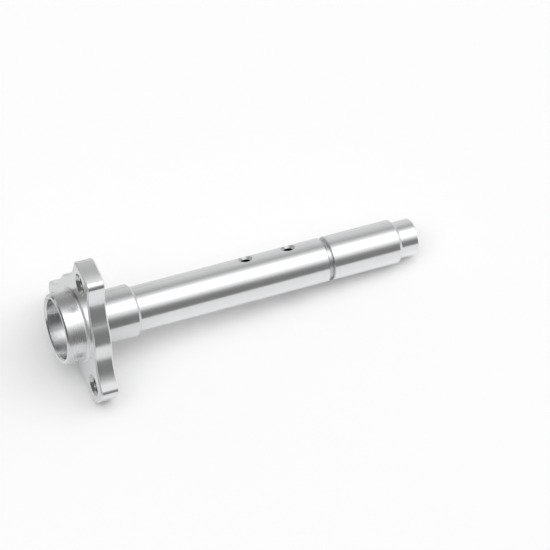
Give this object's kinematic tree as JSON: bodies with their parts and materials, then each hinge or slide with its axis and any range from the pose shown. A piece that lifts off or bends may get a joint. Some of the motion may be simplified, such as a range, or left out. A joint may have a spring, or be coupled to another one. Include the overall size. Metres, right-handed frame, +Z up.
{
  "type": "gearbox layshaft",
  "caption": "Stepped aluminium gearbox layshaft with an eared bolting flange, a blind bearing bore in its hub, a retaining ring groove and cross holes for drive pins.",
  "frame": {"origin": "on the surface it lies on, under the middle of its outer box", "axes": "+X along the shaft from the hub to the far end, seen from above; +Y level, to the side that the cross holes lean to; +Z up, with one ear upright"},
  "size_m": [0.103, 0.0402, 0.0358],
  "materials": {
    "turned_aluminium": "bright turned and milled"
  },
  "bodies": {
    "root": {"layshaft": "turned_aluminium"}
  },
  "joints": []
}
